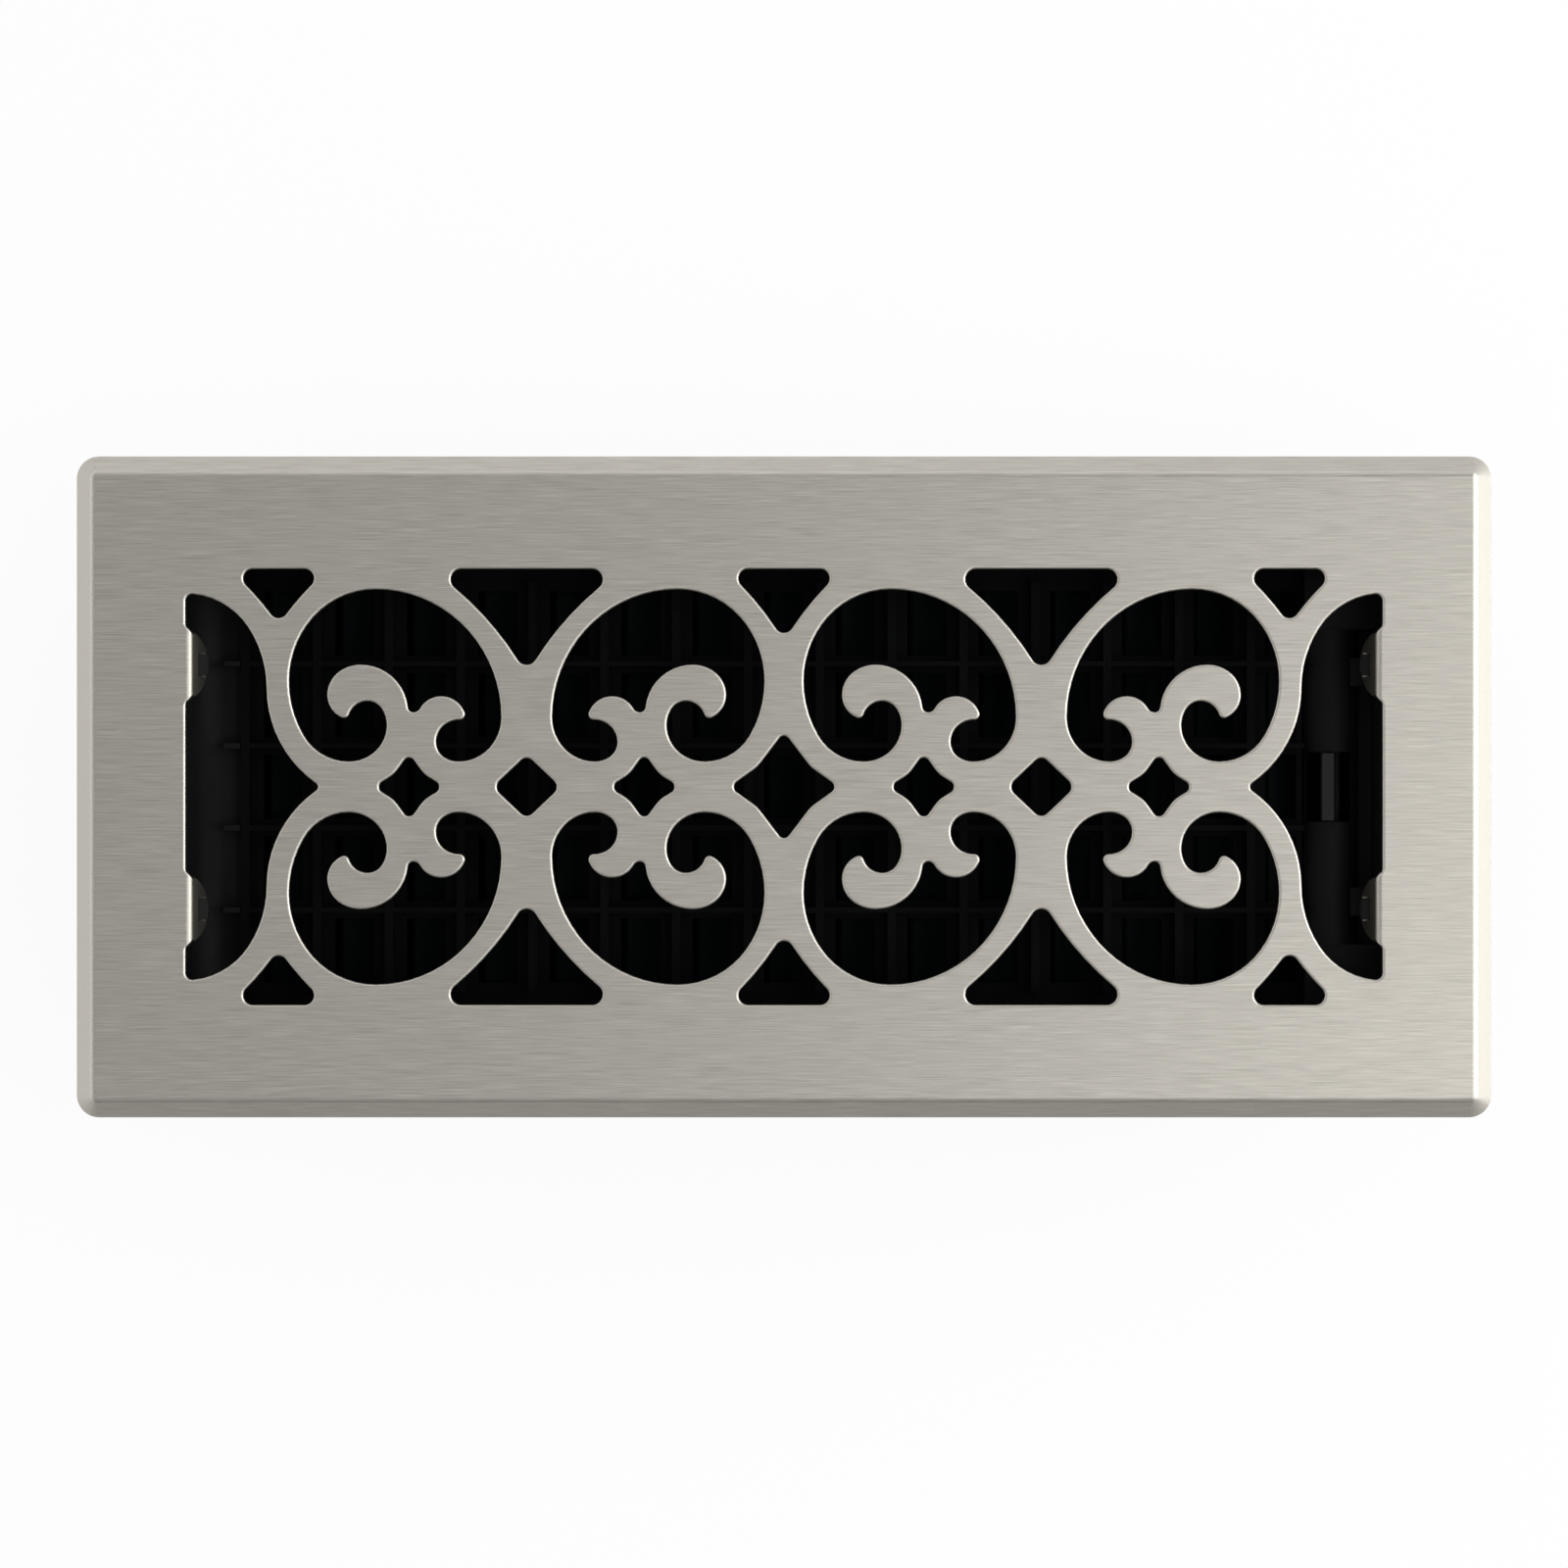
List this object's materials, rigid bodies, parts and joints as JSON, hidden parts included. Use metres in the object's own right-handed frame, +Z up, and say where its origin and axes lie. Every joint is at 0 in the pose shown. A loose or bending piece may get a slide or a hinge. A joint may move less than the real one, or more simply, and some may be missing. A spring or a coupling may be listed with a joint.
{
  "type": "floor register",
  "caption": "Floor register with a bevelled, scroll-pierced nickel plate over a black damper box whose linked louvers are turned by a thumb lever.",
  "frame": {"origin": "centre of the box's bottom edge, below the middle of the plate", "axes": "+X along the plate towards the thumb lever, +Z up out of the floor"},
  "size_m": [0.2922, 0.1366, 0.0445],
  "materials": {
    "brushed_nickel": "brushed along the length",
    "black_plastic": "moulded, fine matt",
    "charcoal_plastic": "moulded, satin"
  },
  "bodies": {
    "housing": {"face_plate": "brushed_nickel", "damper_box": "black_plastic", "support_grid": "black_plastic"},
    "lever": {"thumb_lever": "charcoal_plastic"},
    "link": {"link_bar": "black_plastic"},
    "louver_01": {"louver_01": "black_plastic"},
    "louver_02": {"louver_02": "black_plastic"},
    "louver_03": {"louver_03": "black_plastic"},
    "louver_04": {"louver_04": "black_plastic"},
    "louver_05": {"louver_05": "black_plastic"},
    "louver_06": {"louver_06": "black_plastic"},
    "louver_07": {"louver_07": "black_plastic"},
    "louver_08": {"louver_08": "black_plastic"},
    "louver_09": {"louver_09": "black_plastic"},
    "louver_10": {"louver_10": "black_plastic"},
    "louver_11": {"louver_11": "black_plastic"},
    "louver_12": {"louver_12": "black_plastic"},
    "louver_13": {"louver_13": "black_plastic"},
    "louver_14": {"louver_14": "black_plastic"},
    "louver_15": {"louver_15": "black_plastic"}
  },
  "joints": [
    {"name": "lever_swing", "type": "hinge", "parent": "housing", "child": "lever", "pos_m": [0.1148, 0, 0.02411], "axis": [0, 1, 0], "range_deg": [-33, 33]},
    {"name": "link_turn", "type": "hinge", "parent": "lever", "child": "link", "pos_m": [0.1148, 0, 0.01861], "axis": [0, 1, 0], "range_deg": [-33, 33]},
    {"name": "louver_01_turn", "type": "hinge", "parent": "housing", "child": "louver_01", "pos_m": [-0.10202, 0, 0.01561], "axis": [0, 1, 0], "range_deg": [-33, 33]},
    {"name": "louver_02_turn", "type": "hinge", "parent": "housing", "child": "louver_02", "pos_m": [-0.087, 0, 0.01561], "axis": [0, 1, 0], "range_deg": [-33, 33]},
    {"name": "louver_03_turn", "type": "hinge", "parent": "housing", "child": "louver_03", "pos_m": [-0.07198, 0, 0.01561], "axis": [0, 1, 0], "range_deg": [-33, 33]},
    {"name": "louver_04_turn", "type": "hinge", "parent": "housing", "child": "louver_04", "pos_m": [-0.05697, 0, 0.01561], "axis": [0, 1, 0], "range_deg": [-33, 33]},
    {"name": "louver_05_turn", "type": "hinge", "parent": "housing", "child": "louver_05", "pos_m": [-0.04195, 0, 0.01561], "axis": [0, 1, 0], "range_deg": [-33, 33]},
    {"name": "louver_06_turn", "type": "hinge", "parent": "housing", "child": "louver_06", "pos_m": [-0.02693, 0, 0.01561], "axis": [0, 1, 0], "range_deg": [-33, 33]},
    {"name": "louver_07_turn", "type": "hinge", "parent": "housing", "child": "louver_07", "pos_m": [-0.01192, 0, 0.01561], "axis": [0, 1, 0], "range_deg": [-33, 33]},
    {"name": "louver_08_turn", "type": "hinge", "parent": "housing", "child": "louver_08", "pos_m": [0.0031, 0, 0.01561], "axis": [0, 1, 0], "range_deg": [-33, 33]},
    {"name": "louver_09_turn", "type": "hinge", "parent": "housing", "child": "louver_09", "pos_m": [0.01812, 0, 0.01561], "axis": [0, 1, 0], "range_deg": [-33, 33]},
    {"name": "louver_10_turn", "type": "hinge", "parent": "housing", "child": "louver_10", "pos_m": [0.03313, 0, 0.01561], "axis": [0, 1, 0], "range_deg": [-33, 33]},
    {"name": "louver_11_turn", "type": "hinge", "parent": "housing", "child": "louver_11", "pos_m": [0.04815, 0, 0.01561], "axis": [0, 1, 0], "range_deg": [-33, 33]},
    {"name": "louver_12_turn", "type": "hinge", "parent": "housing", "child": "louver_12", "pos_m": [0.06317, 0, 0.01561], "axis": [0, 1, 0], "range_deg": [-33, 33]},
    {"name": "louver_13_turn", "type": "hinge", "parent": "housing", "child": "louver_13", "pos_m": [0.07818, 0, 0.01561], "axis": [0, 1, 0], "range_deg": [-33, 33]},
    {"name": "louver_14_turn", "type": "hinge", "parent": "housing", "child": "louver_14", "pos_m": [0.0932, 0, 0.01561], "axis": [0, 1, 0], "range_deg": [-33, 33]},
    {"name": "louver_15_turn", "type": "hinge", "parent": "housing", "child": "louver_15", "pos_m": [0.10822, 0, 0.01561], "axis": [0, 1, 0], "range_deg": [-33, 33]}
  ],
  "couplings": [
    {"joint": "link_turn", "follows": "lever_swing", "ratio": -1},
    {"joint": "louver_01_turn", "follows": "lever_swing", "ratio": 1},
    {"joint": "louver_02_turn", "follows": "lever_swing", "ratio": 1},
    {"joint": "louver_03_turn", "follows": "lever_swing", "ratio": 1},
    {"joint": "louver_04_turn", "follows": "lever_swing", "ratio": 1},
    {"joint": "louver_05_turn", "follows": "lever_swing", "ratio": 1},
    {"joint": "louver_06_turn", "follows": "lever_swing", "ratio": 1},
    {"joint": "louver_07_turn", "follows": "lever_swing", "ratio": 1},
    {"joint": "louver_08_turn", "follows": "lever_swing", "ratio": 1},
    {"joint": "louver_09_turn", "follows": "lever_swing", "ratio": 1},
    {"joint": "louver_10_turn", "follows": "lever_swing", "ratio": 1},
    {"joint": "louver_11_turn", "follows": "lever_swing", "ratio": 1},
    {"joint": "louver_12_turn", "follows": "lever_swing", "ratio": 1},
    {"joint": "louver_13_turn", "follows": "lever_swing", "ratio": 1},
    {"joint": "louver_14_turn", "follows": "lever_swing", "ratio": 1},
    {"joint": "louver_15_turn", "follows": "lever_swing", "ratio": 1}
  ]
}
